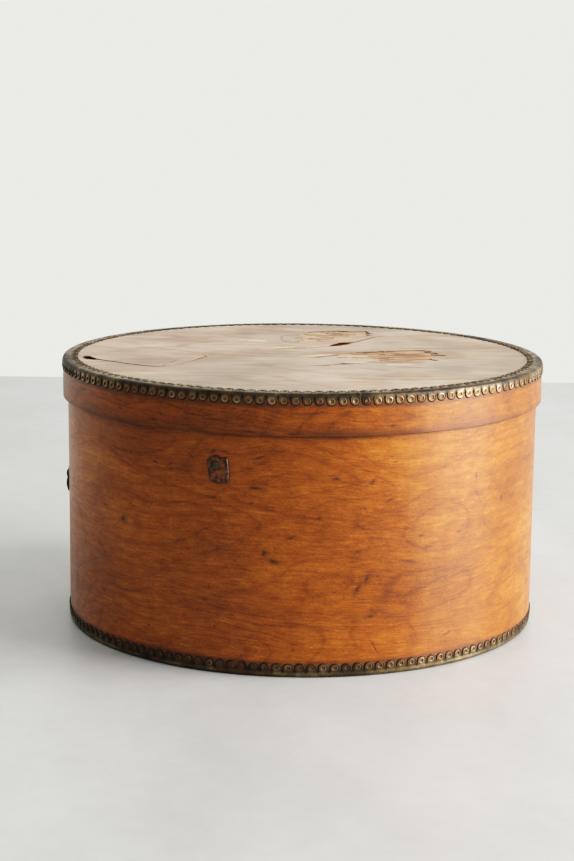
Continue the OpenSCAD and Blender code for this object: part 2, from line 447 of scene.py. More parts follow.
# ---------------------------------------------------------------- plates cut from an outline
def arc_points(outline, step, jag=0.0, seed=0.0):
    """Points every step round an outline in mm. jag splinters it along X, the grain."""
    points = np.array(outline, float)
    made = []
    for a, b in zip(points, np.roll(points, -1, axis=0)):
        count = max(1, int(np.hypot(*(b - a)) / step))
        for i in range(count):
            x, y = a + (b - a) * i / count
            spike = wave(y * 0.9, seed) * 0.6 + wave(y * 2.3, seed + 5) * 0.4
            made.append((x + jag * spike * 2, y + 0.25 * jag * wave(x * 0.3, seed + 9)))
    return np.array(made)


def inside(points, outline):
    """True for each point that lies inside a closed outline."""
    x, y = points.T
    hit = np.zeros(len(points), bool)
    for (x0, y0), (x1, y1) in zip(outline, np.roll(outline, -1, axis=0)):
        cross = (y0 > y) != (y1 > y)
        with np.errstate(divide="ignore", invalid="ignore"):
            hit ^= cross & (x < (x1 - x0) * (y - y0) / (y1 - y0) + x0)
    return hit


def distance_to(points, outline):
    """Distance from each point to a closed outline."""
    best = np.full(len(points), np.inf)
    for a, b in zip(outline, np.roll(outline, -1, axis=0)):
        d = b - a
        t = np.clip(((points - a) @ d) / max(d @ d, 1e-12), 0, 1)
        best = np.minimum(best, np.hypot(*(points - a - t[:, None] * d).T))
    return best


def triangulate(outlines, extra):
    """A flat triangle mesh in mm through outlines and extra points: (points, triangles)."""
    coords, edges = [], []
    for outline in outlines:
        first = len(coords)
        coords += [Vector(p) for p in outline]
        edges += [(first + i, first + (i + 1) % len(outline)) for i in range(len(outline))]
    coords += [Vector(p) for p in extra]
    verts, _, faces, *_ = delaunay_2d_cdt(coords, edges, [], 0, 1e-4)
    return np.array([tuple(v) for v in verts]), np.array([tuple(f) for f in faces])


def filler(x0, y0, x1, y1, step, seed):
    """Slightly shaken hexagonal grid of points over a rectangle, in mm."""
    rows = np.arange(y0, y1, step * 0.866)
    points = [(x + step / 2 * (i % 2), y) for i, y in enumerate(rows) for x in np.arange(x0, x1, step)]
    shake = np.random.default_rng(seed).uniform(-0.12, 0.12, (len(points), 2))
    return np.array(points) + shake * step


def sheet_faces(triangles, n):
    """Faces of a closed sheet of n points on top and as many under them, rim included."""
    faces = [tuple(t) for t in triangles] + [tuple(t[::-1] + n) for t in triangles]
    sides = dict.fromkeys(side for a, b, c in triangles for side in ((a, b), (b, c), (c, a)))
    return faces + [(b, a, a + n, b + n) for a, b in sides if (b, a) not in sides]


def plate(name, points, triangles, top, bottom, tone):
    """A closed sheet: flat points in mm raised to top and bottom heights in metres."""
    flat = points * MM
    verts = np.vstack([np.column_stack([flat, top]), np.column_stack([flat, bottom])])
    faces = sheet_faces(triangles, len(points))
    kinds = [0] * len(triangles) + [1] * (len(faces) - len(triangles))
    uv = [(verts[i][0], verts[i][1]) for face in faces for i in face]
    return make_object(name, verts, faces, kinds, uv, np.full(len(verts), tone))


# ---------------------------------------------------------------- the lid's torn veneer
# Outlines on the lid's top in mm: X to the right, Y to the back, the grain along X
FLAKE = [(-181, -28), (-169, -41), (-153, -53), (-142, -62), (-128, -71), (-118, -75), (-110, -73),
         (-101, -61), (-90, -42), (-79, -18), (-84, -4), (-95, 7), (-104, 17), (-117, 23),
         (-124, 33), (-138, 27), (-150, 12), (-161, 2), (-168, -15)]
FLAKE_TIP = [(-181, -30), (-181, -35), (-177, -40), (-168, -44), (-171, -39), (-174, -34), (-177, -30)]
SLIVER = [(-112, -72), (-101, -60), (-90, -41), (-80, -18), (-82, -11), (-95, -20), (-104, -42)]
BARE_PATCH = [(-1, 68), (12, 67), (26, 75), (42, 95), (56, 118), (62, 123), (57, 128), (65, 133),
              (58, 138), (61, 144), (57, 149), (41, 146), (33, 151), (19, 147), (8, 142), (-1, 130),
              (-7, 118), (0, 108), (-8, 99), (1, 90), (-5, 80)]
LONG_CRACK = [(-36, 29), (-19, 33), (2, 38), (14, 42), (24, 49), (33, 54), (40, 63), (50, 80), (62, 103),
              (76, 122), (60, 106), (48, 83), (39, 71), (31, 64), (24, 54), (14, 44), (2, 40), (-19, 35)]
TORN_STRIP = [(-2, -20), (14, -10), (31, 3), (36, 12), (50, 18), (66, 25), (84, 30), (99, 33),
              (112, 29), (105, 22), (117, 15), (109, 9), (122, 4), (110, -6), (107, -17),
              (113, -24), (98, -33), (84, -36), (64, -33), (58, -20), (48, -27),
              (40, -17), (22, -14)]
SHORT_TEAR = [(2, -61), (14, -58), (25, -53), (32, -46), (41, -47), (56, -42), (34, -52), (18, -61)]
# Each hole's outline, how far its edge is splintered in mm, and its seed
HOLES = [(FLAKE, 0.5, 1), (FLAKE_TIP, 0.3, 2), (BARE_PATCH, 2.4, 3), (LONG_CRACK, 0.5, 4),
         (TORN_STRIP, 3.0, 5), (SHORT_TEAR, 1.2, 6)]
# Lines along which the veneer is lifted: the crack's middle and the flake's front edge
CRACK_LINE = [(-36, 31), (0, 39), (24, 54), (40, 66), (50, 80), (75, 119)]
FLAKE_FRONT = [(-180, -28), (-142, -62), (-118, -75), (-101, -60), (-79, -18)]
CUT_STEP = 1.4  # mm from point to point along a cut
VENEER_INSET = 3.2  # mm from the lid's edge to the veneer's, which the strip hides

# Stains and scuffs on the lid's top: (x, y, length, width, tilt), in mm and degrees
PALE_SCUFFS = [(-40, 81, 26, 10, 0), (-17, 38, 44, 12, 20), (13, -4, 42, 11, 32), (46, -38, 34, 10, 5),
               (78, -50, 36, 9, 0)]
FADED = [(137, 6, 46, 52, 0)]
GREY_SMUDGES = [(60, -76, 34, 13, -25), (92, -62, 40, 9, 0), (120, -70, 50, 60, 0)]
DULL_SIDE = [(150, -30, 150, 260, 0), (60, 175, 260, 60, 0)]
SWIRL = [(-8, 97, 24, 50, 0)]
SWIRL_CORE = [(-2, 93, 14, 38, 0)]
BROWN_EDGES = [(124, 4, 42, 52, 0), (70, -38, 90, 9, 0), (96, 42, 50, 8, 5), (0, -158, 50, 1.0, 28),
               (-25, 18, 50, 5, 3)]
# Spots, raggedness, scale of the ragged rim, colour, and the stops of how strong it is
LID_STAINS = [
    (BROWN_EDGES, 2.2, (60, 170), (0.22, 0.125, 0.07), (0.5, 0.6), (1.1, 0.0)),
    (GREY_SMUDGES, 2.2, (60, 170), (0.25, 0.215, 0.175), (0.4, 0.55), (1.1, 0.0)),
    (FADED, 1.8, (40, 90), (0.54, 0.38, 0.26), (0.4, 0.5), (1.0, 0.0)),
    (DULL_SIDE, 0.8, (12, 20), (0.27, 0.22, 0.17), (0.3, 0.45), (1.0, 0.0)),
]
# Stains on the core in the torn strip, and painted shade where it lies under a gap
CORE_STAINS = [(84, -4, 66, 60, 0), (60, 22, 60, 9, 16)]
CORE_GAP_SHADE = [(-176, -35, 34, 30, 0), (34, 62, 34, 26, 50)]


def shrunk(outline, gap):
    """An outline moved in towards its middle by about gap, in mm."""
    outline = np.array(outline, float)
    ahead, behind = np.roll(outline, -1, axis=0), np.roll(outline, 1, axis=0)
    along = ahead - behind
    normal = np.column_stack([-along[:, 1], along[:, 0]])
    normal /= np.maximum(np.hypot(*normal.T), 1e-9)[:, None]
    area = np.sum(outline[:, 0] * ahead[:, 1] - ahead[:, 0] * outline[:, 1])
    return outline + normal * gap * (1 if area > 0 else -1)


def bump_at(points, centre, reach_x, reach_y):
    """A round hill of height 1 at centre."""
    d = (points - np.array(centre)) / np.array([reach_x, reach_y])
    return np.exp(-np.sum(d * d, axis=1))


def sheet_wave(points):
    """How far the lid's veneer stands off flat all over, in metres."""
    slow = np.array([wave(x * 0.016, y * 0.02, 4) for x, y in points])
    fine = np.array([wave(x * 0.03, y * 0.16, 8) for x, y in points])
    return (0.16 * slow + 0.05 * fine) * MM


def lid_veneer():
    """The lid's outer veneer: the sound sheet, the loose flake and what is left in the tears."""
    edge_r = LID_R / MM - VENEER_INSET
    rim = np.array([(edge_r * math.cos(a), edge_r * math.sin(a)) for a in np.linspace(0, TAU, 361)[:-1]])
    holes = [arc_points(line, CUT_STEP, jag, seed) for line, jag, seed in HOLES]
    sliver, round_sliver = [arc_points(shrunk(SLIVER, gap), CUT_STEP, 0.4, 12) for gap in (0.5, -0.5)]
    flake = arc_points(shrunk(FLAKE, 0.4), CUT_STEP, 0.5, 1)
    splinters = splinter_outlines()
    lines = holes + [flake, sliver]
    # fine points along the cuts, coarse ones elsewhere
    coarse = filler(-200, -200, 200, 200, 6.5, 3)
    fine = filler(-200, -110, 140, 160, 1.9, 4)
    near, far = [np.min([distance_to(grid, line) for line in lines], axis=0) for grid in (fine, coarse)]
    fine = fine[(near > 0.7) & (near < 9)]
    coarse = coarse[(far > 9) & (np.hypot(*coarse.T) < edge_r - 3)]
    points, triangles = triangulate([rim] + lines + splinters, np.vstack([fine, coarse]))

    middles = points[triangles].mean(axis=1)
    sound = inside(middles, rim) & ~np.any([inside(middles, line) for line in holes], axis=0)
    in_flake = inside(middles, flake) & ~inside(middles, holes[1]) & ~inside(middles, round_sliver)
    in_sliver = inside(middles, sliver)
    in_splinters = np.any([inside(middles, line) for line in splinters], axis=0)
    parts = [
        ("lid_veneer", sound, sound_height, 0.0),
        ("lid_veneer_flake", in_flake & ~sound, flake_height, 0.16),
        ("lid_veneer_sliver", in_sliver & ~sound, sliver_height, 0.30),
        ("lid_veneer_splinters", in_splinters & ~sound & ~in_flake & ~in_sliver, splinter_height, 0.75),
    ]
    made = []
    for name, chosen, height, tone in parts:
        used, index = np.unique(triangles[chosen], return_inverse=True)
        own = points[used]
        top, bottom = height(own)
        made.append(plate(name, own, index.reshape(-1, 3), top, bottom, tone))
    return made


def off_line(points, line):
    """How far points lie behind a line that is given from left to right, in mm."""
    return points[:, 1] - np.interp(points[:, 0], *np.transpose(line))


def sound_height(points):
    """Top and underside of the sound veneer, lifted a little along its torn edges."""
    def along(outline, height, reach):
        return height * np.exp(-distance_to(points, arc_points(outline, 2)) / reach)

    curl = along(TORN_STRIP, 0.12, 5) + along(SHORT_TEAR, 0.15, 4) + along(FLAKE, 0.06, 4)
    # the side of the long crack that faces the back stands up, so that it gapes to the front
    gape = 1.3 * bump_at(points, (34, 64), 13, 18) + along(LONG_CRACK, 0.2, 7)
    curl += smooth(off_line(points, CRACK_LINE), -1, 1) * gape
    curl += 0.5 * bump_at(points, (-12, 88), 9, 12) * np.sin(points[:, 1] * 0.5)
    top = LID_TOP_Z + sheet_wave(points) + curl * MM
    return top, top - VENEER


def flake_height(points):
    """The loose flake: domed, with its front edge and its left tip standing up."""
    depth = np.clip(off_line(points, FLAKE_FRONT), 0, None)
    curl = 0.32 * np.exp(-depth / 12) + 0.12 * np.exp(-depth / 40)
    curl += 0.9 * bump_at(points, (-174, -33), 10, 9)
    curl += 0.12 * bump_at(points, (-130, -25), 40, 35)
    top = LID_TOP_Z + sheet_wave(points) + curl * MM
    return top, top - VENEER


def sliver_height(points):
    """The narrow strip rolled up along the flake's right edge."""
    curl = 0.42 + 0.25 * np.sin(points[:, 1] * 0.16)
    top = LID_TOP_Z + curl * MM
    return top, top - VENEER


def splinter_height(points):
    """Fibres left on the core where the veneer came off."""
    curl = 0.12 + 0.22 * np.array([wave(x * 0.05, y * 0.9, 2) for x, y in points])
    top = CORE_TOP_Z + np.clip(0.30 + curl, 0.08, 0.66) * MM
    return top, np.full(len(points), CORE_TOP_Z - 0.05 * MM)


def splinter_outlines():
    """Thin pointed strips along the grain inside the bare areas, clear of each other."""
    made = []
    shares = np.linspace(0, 1, 9)
    shares = np.concatenate([shares[:-1], shares[:0:-1]])
    sides = np.repeat([-1, 1], 8)
    draw = np.random.default_rng(21)
    for outline, count in ((BARE_PATCH, 12), (TORN_STRIP, 18)):
        shape = np.array(outline, float)
        ring = arc_points(shape, 2)
        wanted = len(made) + count
        for _ in range(900):
            if len(made) == wanted:
                break
            x, y = draw.uniform(shape.min(0), shape.max(0))
            length, width = draw.uniform(9, 30), draw.uniform(0.7, 2.4)
            tilt = draw.uniform(-0.05, 0.05)
            bulge = sides * width / 2 * np.sin(math.pi * shares)
            strip = np.column_stack([x + length * shares, y + tilt * length * shares + bulge])
            if not inside(strip, shape).all() or distance_to(strip, ring).min() < 2.8:
                continue
            near = [other for other in made if np.hypot(*(strip.mean(0) - other.mean(0))) < 26]
            if all(distance_to(strip, other).min() >= 0.5 for other in near):
                made.append(strip)
    return made


# ---------------------------------------------------------------- embossed edge bindings
PITCH = 8.95  # mm from one lobe to the next
CELL = 6.5  # height of one lobe's cell, from its tip
HOLE_R = 1.35
HOLE_UP = 3.6  # from the lobe's tip to the middle of its hole
LOBE_HALF = 4.05
LOBE_R = 3.4
NOTCH_UP = 5.0  # from the lobe's tip to the bottom of the notch beside it
SHEET_T = 0.28  # thickness of the strip's metal before embossing
SHEET_GAP = 0.02  # from the wood to the strip's inner face
PLAIN_TONE = 0.3  # of the inner face, which hands don't rub


def hill(distance, width):
    """A smooth hill of height 1 at distance 0."""
    return np.exp(-((distance / width) ** 2))


def lobe_outline():
    """One cell's edge in mm, anticlockwise from the tip: (across, up from the tip)."""
    turns = [math.radians(-90 + 18 * i) for i in range(6)]
    half = PITCH / 2
    right = [(LOBE_HALF * math.cos(t), LOBE_R + LOBE_R * math.sin(t)) for t in turns]
    right += [(LOBE_HALF + 0.12, 4.3), (half, NOTCH_UP), (half, 5.75), (half, CELL)]
    right += [(0.62 * half, CELL), (0.3 * half, CELL)]
    left = [(-x, y) for x, y in right[:0:-1]]
    return np.array(right + [(0, CELL)] + left)


def cell_points():
    """Points of one cell ring by ring, from its hole out to its edge, in mm."""
    edge = lobe_outline()
    centre = np.array([0, HOLE_UP])
    reach = np.hypot(*(edge - centre).T)
    aim = (edge - centre) / reach[:, None]
    round_r = 2.2  # the rings are round up to here
    rings = [centre + aim * r for r in (HOLE_R, 1.62, 1.9, round_r)]
    for share in (0.3, 0.58, 0.82, 1.0):
        rings.append(centre + aim * (round_r + share * (reach - round_r))[:, None])
    return np.array(rings)


def cell_distances(across, up):
    """At points of a cell, the distances in mm from the middle of its hole, from the lobe's
    edge inwards, and from the groove between two lobes."""
    hole = np.hypot(across, up - HOLE_UP)
    edge = LOBE_HALF - np.hypot(across, np.minimum(up - HOLE_UP, 0) * LOBE_HALF / HOLE_UP)
    return hole, edge, PITCH / 2 - np.abs(across)


def emboss(across, up):
    """Height of the strip's outer face above its sheet at points of a cell, in mm."""
    hole, edge, groove = cell_distances(across, up)
    eyelet = 0.28 * hill(hole - 1.9, 0.36)
    rim = 0.36 * hill(edge - 0.62, 0.42) * smooth(up, 7.6, 5.2)
    fall = 0.12 * smooth(edge, 0.35, 0.0) * smooth(up, 6.0, 4.5)
    fall += 0.20 * hill(groove, 0.4) * smooth(up, 7.4, 6.2)
    return np.maximum(eyelet, rim) - fall


def rubbed_tone(across, up, dull):
    """How bright the strip is rubbed at points of a cell: dark round each lobe's edge and
    in the notches, brighter round the hole, and duller by dull past the lobes."""
    hole, edge, groove = cell_distances(across, up)
    ring = 0.20 * hill(hole - 2.0, 0.45)
    rim = 0.36 * smooth(edge, 0.95, 0.25) + 0.25 * hill(groove, 0.45)
    return 0.62 + ring - rim * smooth(up, 8.0, 5.8) - dull * smooth(up, 6.2, 8.2)


class StripPath:
    """Where a strip's developed width lies: along the side, round the corner, along the face.
    Its inner surface is side_r from the axis and at face_z, and up is the face's outward Z."""

    def __init__(self, side_r, face_z, tip_z, tip_r, up):
        self.bend_r = (STRIP_R - STRIP_T) / MM
        self.corner_r = side_r / MM - self.bend_r
        self.corner_z = face_z / MM - up * self.bend_r
        self.up = up
        self.side = abs(self.corner_z - tip_z / MM)
        self.bend = self.bend_r * math.pi / 2
        self.total = self.side + self.bend + self.corner_r - tip_r / MM

    def place(self, angle, along, height):
        """World points in metres from an angle, mm along the width, and mm of height."""
        turn = np.clip((along - self.side) / self.bend_r, 0, math.pi / 2)
        past = np.clip(along - self.side - self.bend, 0, None)
        below = np.clip(self.side - along, 0, None)
        r = self.corner_r + (self.bend_r + height) * np.cos(turn) - past
        z = self.corner_z + self.up * ((self.bend_r + height) * np.sin(turn) - below)
        return np.column_stack([r * np.cos(angle), r * np.sin(angle), np.maximum(z, 0)]) * MM


def lobe_quads(flat, around):
    """Faces of one lobe: the outer face over the points of flat, then the inner face, the
    hole's wall and the lobe's edge on its first and last ring, repeated below."""
    quads = []
    last, under = len(flat) - around, len(flat)
    low = flat[last:, 1] < NOTCH_UP - 0.01
    for i in range(around):
        j = (i + 1) % around
        for ring in range(0, last, around):
            quads.append((ring + i, ring + around + i, ring + around + j, ring + j))
        quads.append((under + i, under + j, under + around + j, under + around + i))
        quads.append((j, under + j, under + i, i))
        if low[i] or low[j]:
            quads.append((last + i, under + around + i, under + around + j, last + j))
    return quads


def binding(name, path, count, start, seed, face_lift, tarnish, dull):
    """A thin embossed strip with a pierced scalloped edge on both sides, and one lap joint.
    face_lift is the share of the lobes' lift on the face. tarnish darkens the whole strip,
    and dull the band between its lobes."""
    draw = np.random.default_rng(seed)
    verts, tones, faces = [], [], []

    def add(k, across, along, height, tone):
        """Adds points at cell k and returns the number of the first."""
        first = sum(len(v) for v in verts)
        place = k + across / PITCH
        # the last cell rides up over the first one
        lap = np.clip((place - (count - 1)) / 0.5, 0, 1) * 0.5
        verts.append(path.place(start + place * TAU / count, along, height + lap))
        crown = smooth(along, path.side + 0.75 * path.bend, path.side + 1.05 * path.bend)
        crown = crown * smooth(along, path.total - CELL + 1.5, path.total - CELL - 1)
        # darker past the step of the lap joint, and brighter at its raised end
        before, after = (count - 0.5 - place) * PITCH, (place + 0.5) * PITCH
        joint = 0.3 * hill(before, 0.5) - 0.9 * hill(after, 5.0)
        tones.append(tone + 0.14 * crown + joint - tarnish)
        return first

    # The lobes, each a little askew
    rings = cell_points()
    around = rings.shape[1]
    flat = rings.reshape(-1, 2)
    x, y = flat.T
    free = smooth(y, 5.0, 1.0)
    rim = np.r_[0:around, len(flat) - around:len(flat)]
    height, tone = SHEET_T + emboss(x, y), rubbed_tone(x, y, dull)
    quads = lobe_quads(flat, around)
    for row, turn in ((0, 1), (1, -1)):
        for k in range(count):
            tilt, shift, grow, rise = draw.uniform(-1, 1, 4)
            across = x + free * (0.22 * shift + 0.05 * tilt * (y - HOLE_UP))
            along = y + free * (0.25 * grow if k else 0)
            lift = free * (0.10 + 0.10 * rise + 0.06 * tilt * x / 3)
            if row:
                along = path.total - along
                lift = lift * face_lift
            first = add(k, across, along, height + lift, tone)
            add(k, across[rim], along[rim], SHEET_GAP + lift[rim], PLAIN_TONE)
            faces += [tuple(first + q for q in quad[::turn]) for quad in quads]

    # The plain band between the two rows of lobes, with the bent corner in it
    columns = np.array([-1, -0.62, -0.3, 0, 0.3, 0.62, 1]) * PITCH / 2
    low, high = CELL, path.total - CELL
    bends = path.side + path.bend * np.linspace(0, 1, 7)
    steps = np.concatenate([np.arange(low + 1, bends[0], 1.0), bends, np.arange(bends[-1] + 1.3, high, 1.3)])
    steps = steps[(steps > low + 0.2) & (steps < high - 0.2)]
    levels = np.concatenate([[low], steps, [high]])
    x, y = [grid.ravel() for grid in np.meshgrid(columns, levels)]
    from_edge = np.minimum(y, path.total - y)
    height, tone = SHEET_T + emboss(x, from_edge), rubbed_tone(x, from_edge, dull)
    wide = len(columns)
    starts = [row * wide + i for row in range(len(levels) - 1) for i in range(wide - 1)]
    quads = [(s, s + 1, s + wide + 1, s + wide) for s in starts]
    quads += [tuple(len(x) + q for q in quad[::-1]) for quad in quads]
    for k in range(count):
        # the outer face has small knocks, the inner face is plain
        knocks = np.array([0.06 * wave(0.3 * (k * PITCH + a), 0.5 * b, seed) for a, b in zip(x, y)])
        knocks *= smooth(y, low, low + 2) * smooth(y, high, high - 2)
        first = add(k, x, y, height + knocks, tone)
        add(k, x, y, SHEET_GAP, PLAIN_TONE)
        faces += [tuple(first + q for q in quad) for quad in quads]
    return close_up(make_object(name, np.vstack(verts), faces, tones=np.concatenate(tones)))


# ---------------------------------------------------------------- leather stubs and rivets
# Torn outlines in mm round each stub's middle: (right, up)
FRONT_STUB = [(-8.9, 5.5), (-8.8, 7.3), (-7.2, 7.9), (-4.0, 10.6), (-1.4, 11.0), (0.4, 10.2), (2.2, 9.3),
              (4.4, 9.6), (6.4, 10.4), (7.8, 8.9), (8.5, 4.8), (8.9, -1), (8.9, -6.6), (7.9, -9.2),
              (5.0, -10.2), (0.8, -10.9), (-2.6, -10.3), (-5.6, -9.6), (-7.2, -7.9), (-7.7, -4.0), (-8.3, 1)]
SIDE_STUB = [(-7.8, 6.5), (-5.5, 9.6), (-1.5, 10.6), (2.5, 10.2), (6.0, 9.0), (8.2, 5.6), (8.8, -1.5),
             (8.6, -8.0), (7.8, -10.0), (3.0, -10.4), (-3.0, -10.1), (-7.6, -9.8), (-8.6, -6.0), (-8.5, 1.0)]
RIVET_LEFT = 2.7  # mm from the stub's middle to its rivet
RIVET_UP = 3.2
LEATHER_T = 1.75  # mm of leather under the rivet's head


def leather(name, outline, azimuth, z, curl, seed):
    """What is left of a strap: a worn slab with a rolled edge, drawn in round its rivet."""
    edge = arc_points(outline, 0.55, 0.12, seed)
    grid = filler(-10, -12, 10, 12, 0.62, seed)
    grid = grid[inside(grid, edge)]
    grid = grid[distance_to(grid, edge) > 0.35]
    points, triangles = triangulate([edge], grid)
    triangles = triangles[inside(points[triangles].mean(axis=1), edge)]
    gap = distance_to(points, edge)
    round_edge = np.sqrt(np.clip(1 - (1 - np.clip(gap / 1.1, 0, 1)) ** 2, 0, 1))
    rivet = np.hypot(points[:, 0] + RIVET_LEFT, points[:, 1] - RIVET_UP)
    body = curl(*points.T)
    body -= 0.55 * np.exp(-((rivet / 4.4) ** 4))
    body += 0.16 * np.array([wave(x * 0.35, y * 0.3, seed) for x, y in points])
    body += 0.07 * np.array([wave(x * 1.1, y * 0.9, seed) for x, y in points])
    top = 0.55 + round_edge * np.clip(body - 0.55, 0.25, 2.1)
    verts = []
    for height in (top, 0.03 + 0 * top):
        angle = math.radians(azimuth) + points[:, 0] * MM / WALL_R
        r = WALL_R + height * MM
        verts.append(np.column_stack([r * np.sin(angle), -r * np.cos(angle), z + points[:, 1] * MM]))
    faces = sheet_faces(triangles, len(points))
    # tone for the colour: lighter where the flat leather is rubbed, darker on the raised curl and within
    # about a millimetre of the rim
    worn = np.clip(0.62 - 0.35 * (body - 1.1) - 0.8 * np.exp(-gap / 0.9), 0, 1)
    uv = [points[i % len(points)] * MM for face in faces for i in face]
    return make_object(name, np.vstack(verts), faces, None, uv, np.concatenate([worn, worn]))


def front_curl(x, y):
    """The front stub is dished, with a rolled right edge and a lifted lower left corner."""
    body = 1.15 + 0.85 * hill(x - 7.2, 1.3) - 0.35 * hill(x - 5.0, 0.9)
    return body + 0.5 * hill(x + 7, 2.2) + 0.25 * smooth(y, -6, -10)


def side_curl(x, y):
    """The side stub bulges most below its middle and thins towards its torn top."""
    return 0.9 + 1.5 * hill(y + 3.0, 5.5) + 0.2 * hill(x, 5)


# Side, azimuth from the front in degrees, outline, shape and seed
STUBS = [("front", -18.6, FRONT_STUB, front_curl, 5), ("side", -88.0, SIDE_STUB, side_curl, 8)]


def lathe(name, profile, azimuth, z, seed, steps=28):
    """A part turned about a radial line through the wall, slightly knocked. profile is
    (radius, height) in mm, from one end of the axis to the other."""
    verts, faces = [], []
    sizes = [steps if r > 0 else 1 for r, _ in profile]
    for (r, h), size in zip(profile, sizes):
        for t in np.arange(size) * TAU / steps:
            x, y = r * math.cos(t), r * math.sin(t)
            knock = 0.04 * wave(x * 0.8, y * 0.8, seed + h) if r > 0.3 else 0
            verts.append((x, y, h + knock))
    first = 0
    for size, next_size in zip(sizes, sizes[1:]):
        second = first + size
        for i in range(steps):
            j = (i + 1) % steps
            loop = [first + i % size, first + j % size, second + j % next_size, second + i % next_size]
            faces.append(tuple(dict.fromkeys(loop)))
        first = second
    x, y, h = np.array(verts).T * MM
    sine, cosine = math.sin(math.radians(azimuth)), math.cos(math.radians(azimuth))
    r = WALL_R + h
    world = np.column_stack([sine * r + cosine * x, sine * x - cosine * r, z + y])
    return close_up(make_object(name, world, faces))


def dome(radius, low, height):
    """A dome's profile from its rim to its crown: (radius, height) pairs in mm."""
    turns = np.linspace(0, math.pi / 2, 6)[1:-1]
    rim = [(radius * 0.9, low), (radius, low + height * 0.18)]
    cap = [(radius * math.cos(t), low + height * (0.18 + 0.82 * math.sin(t))) for t in turns]
    return rim + cap + [(0, low + height)]


def rivet_profile():
    """Tail dome inside the wall, shank, and head dome on the leather."""
    tail_z = -PLY / MM - 0.75
    tail = [(r, tail_z - h) for r, h in dome(2.3, 0, 0.8)][::-1]
    return tail + [(1.55, tail_z), (1.55, LEATHER_T)] + dome(3.3, LEATHER_T, 1.25)


def burr_profile():
    """The washer under the rivet's tail, slightly dished."""
    low, high = -PLY / MM - 0.82, -PLY / MM - 0.02
    return [(1.7, high), (4.3, high), (4.5, high - 0.2), (4.45, low + 0.25), (4.2, low + 0.1),
            (1.8, low), (1.7, high)]


# ---------------------------------------------------------------- metal, leather and lid materials
def strip_metal(name):
    """Tarnished brass strip: dark in the embossing, bright where hands have worn it."""
    m = Surface(name)
    place = m.object_xyz()
    blots = m.noise(place, 70, detail=5, rough=0.65)
    patches = m.noise(place, 16)
    grit = m.noise(place, 900, rough=0.7)
    wear = (m.tone() + (blots - 0.5) * 1.1 + (patches - 0.5) * 0.9) * 0.7
    colour = m.ramp(wear, (0.24, (0.026, 0.018, 0.011)), (0.38, (0.085, 0.060, 0.031)),
                    (0.56, (0.27, 0.205, 0.12)), (0.80, (0.58, 0.50, 0.41)))
    rust = m.ramp(m.noise(place, 120, detail=4, rough=0.6), (0.50, 0.0), (0.68, 0.75))
    colour = m.mix(rust, colour, (0.12, 0.055, 0.018))
    m.bump(grit + blots * 0.6, 0.3, 0.00008)
    return m.finish(Base_Color=colour, Metallic=m.ramp(wear, (0.28, 0.30), (0.60, 0.85)),
                    Roughness=m.ramp(wear, (0.25, 0.50), (0.68, 0.22)) + grit * 0.10)


def rivet_metal(name):
    """Dull, pitted steel with brown stain in its hollows."""
    m = Surface(name)
    place = m.object_xyz()
    pits = m.noise(place, 1100, detail=4, rough=0.7)
    stain = m.noise(place, 420)
    colour = m.ramp(pits, (0.35, (0.036, 0.033, 0.024)), (0.6, (0.13, 0.122, 0.098)))
    colour = m.mix(m.ramp(stain, (0.5, 0.0), (0.65, 0.75)), colour, (0.10, 0.045, 0.018))
    m.bump(pits, 0.4, 0.00012)
    return m.finish(Base_Color=colour, Metallic=m.ramp(stain, (0.4, 0.95), (0.7, 0.5)),
                    Roughness=m.ramp(pits, (0.3, 0.65), (0.7, 0.45)))


def strap_leather(name):
    """Old dark leather, its finish rubbed off to orange-brown in patches."""
    m = Surface(name)
    uv = m.uv()
    rub = m.noise(uv, (230, 230), detail=4, rough=0.6) + (m.tone() - 0.38) * 0.32
    creases = m.cells(uv, (900, 1100), feature="DISTANCE_TO_EDGE")
    creases = m.ramp(creases, (0.0, 0.0), (0.12, 1.0))
    fine = m.noise(uv, (2600, 2600), rough=0.7)
    colour = m.ramp(rub, (0.30, (0.012, 0.007, 0.005)), (0.40, (0.060, 0.023, 0.010)),
                    (0.51, (0.16, 0.055, 0.017)), (0.64, (0.30, 0.115, 0.033)))
    colour = m.mix((1.0 - creases) * 0.6, colour, (0.010, 0.006, 0.004))
    m.bump(creases * 0.7 + fine * 0.5, 0.5, 0.0001)
    return m.finish(Base_Color=colour, Roughness=m.ramp(rub, (0.4, 0.34), (0.7, 0.62)),
                    Specular_IOR_Level=0.6)


